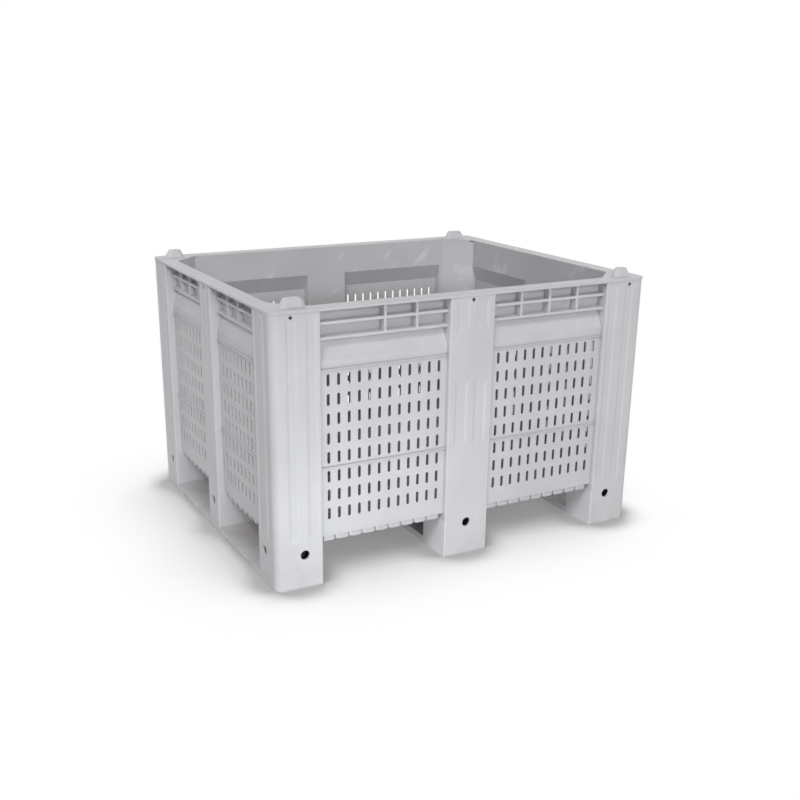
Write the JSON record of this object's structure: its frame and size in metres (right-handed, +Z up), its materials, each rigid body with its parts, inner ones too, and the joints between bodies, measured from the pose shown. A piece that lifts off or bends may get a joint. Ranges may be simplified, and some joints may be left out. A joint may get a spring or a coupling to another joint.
{
  "type": "fruit bin",
  "caption": "Pallet-sized vented plastic harvest bin with fluted posts, slotted wall panels, a pocketed rim, a ribbed floor, ground runners and stacking pegs.",
  "frame": {"origin": "on the ground under the middle of the bin", "axes": "+X along the front wall to the right, +Y from the front wall to the back wall, +Z up"},
  "size_m": [1.204, 1.004, 0.796],
  "materials": {
    "bin_plastic": "moulded polyethylene, light grey, satin",
    "pin_steel": "blackened spring steel",
    "screw_steel": "zinc plated"
  },
  "bodies": {
    "root": {"floor_deck": "bin_plastic", "centre_foot": "bin_plastic", "runner_left": "bin_plastic", "runner_middle": "bin_plastic", "runner_right": "bin_plastic", "corner_post_front_left": "bin_plastic", "corner_post_front_right": "bin_plastic", "corner_post_back_left": "bin_plastic", "corner_post_back_right": "bin_plastic", "mid_post_front": "bin_plastic", "mid_post_back": "bin_plastic", "mid_post_left": "bin_plastic", "mid_post_right": "bin_plastic", "panel_front_left": "bin_plastic", "panel_front_right": "bin_plastic", "panel_back_left": "bin_plastic", "panel_back_right": "bin_plastic", "panel_left_front": "bin_plastic", "panel_left_back": "bin_plastic", "panel_right_front": "bin_plastic", "panel_right_back": "bin_plastic", "top_rail_front": "bin_plastic", "top_rail_back": "bin_plastic", "top_rail_left": "bin_plastic", "top_rail_right": "bin_plastic", "stacking_cap_front_left": "bin_plastic", "stacking_cap_front_right": "bin_plastic", "stacking_cap_back_left": "bin_plastic", "stacking_cap_back_right": "bin_plastic", "lock_pins": "pin_steel", "floor_screws": "screw_steel", "runner_screws": "screw_steel"}
  },
  "joints": []
}
